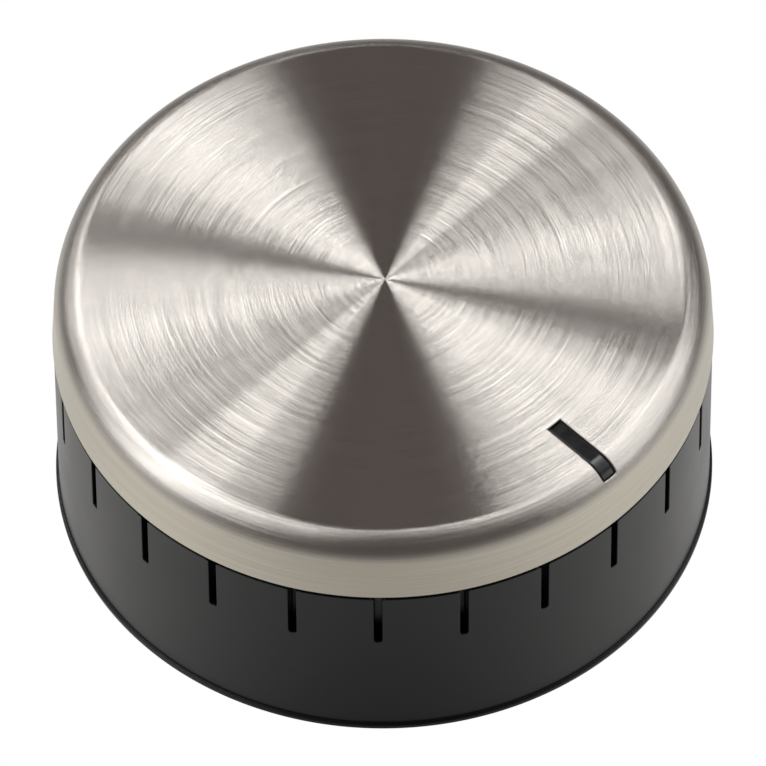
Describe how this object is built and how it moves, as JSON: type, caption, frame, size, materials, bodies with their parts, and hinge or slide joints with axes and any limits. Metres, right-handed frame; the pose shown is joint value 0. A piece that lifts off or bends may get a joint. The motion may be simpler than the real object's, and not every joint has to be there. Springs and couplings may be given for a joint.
{
  "type": "thermostat knob",
  "caption": "Push-on rotary knob for a cooker thermostat: brushed steel cap with a pointer line over a black grooved moulding, for a D-shaped shaft.",
  "frame": {"origin": "centre of the base rim, on the plane that the knob rests on", "axes": "+Z along the shaft towards the face; the pointer line lies towards -Y; the socket's flat is towards +Y"},
  "size_m": [0.0406, 0.0406, 0.0181],
  "materials": {
    "brushed_cap": "spun brushed face, brushed wall",
    "black_moulding": "satin black moulding",
    "spring_steel": "bright rolled strip"
  },
  "bodies": {
    "root": {"cap": "brushed_cap", "body": "black_moulding", "shaft_spring": "spring_steel"}
  },
  "joints": []
}
